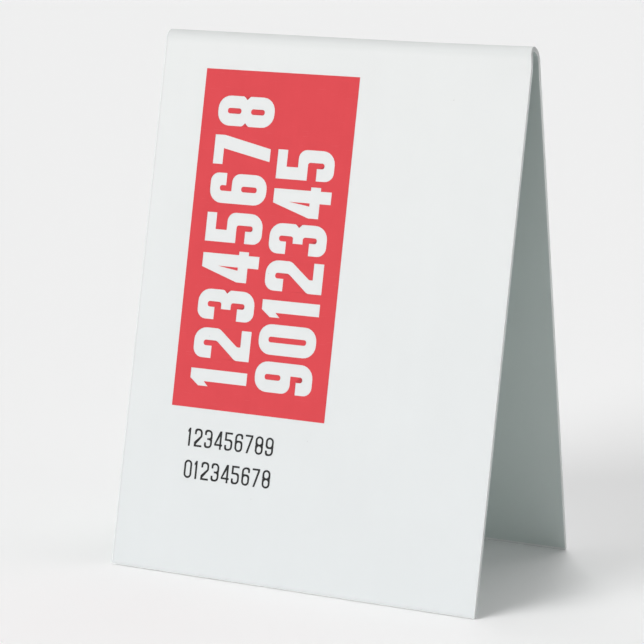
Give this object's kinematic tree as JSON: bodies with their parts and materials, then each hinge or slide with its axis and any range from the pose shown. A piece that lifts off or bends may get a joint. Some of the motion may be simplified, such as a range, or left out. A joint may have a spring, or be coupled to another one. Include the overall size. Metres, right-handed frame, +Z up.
{
  "type": "table sign",
  "caption": "Free-standing tabletop tent sign: a white rigid plastic sheet folded into leaning leaves that stand on their cut edges, with a red block printed on its front face.",
  "frame": {"origin": "on the table, under the middle of the fold, midway between the feet", "axes": "+X along the fold, to the right of someone who reads the front; -Y towards the reader of the printed front; +Z up"},
  "size_m": [0.127, 0.0846, 0.1724],
  "materials": {
    "white_sheet": "smooth satin white rigid sheet",
    "red_ink": "flat printed ink, slightly duller than the sheet"
  },
  "bodies": {
    "front_leg": {"front_panel": "white_sheet", "top_fold": "white_sheet", "front_print_block": "red_ink"},
    "rear_leg": {"rear_panel": "white_sheet"}
  },
  "joints": [
    {"name": "fold_flex", "type": "hinge", "parent": "front_leg", "child": "rear_leg", "pos_m": [0, 0, 0.1682], "axis": [1, 0, 0], "range_deg": [-26, 12], "stiffness_Nm_per_rad": 0.7, "deforming": ["top_fold"]}
  ]
}
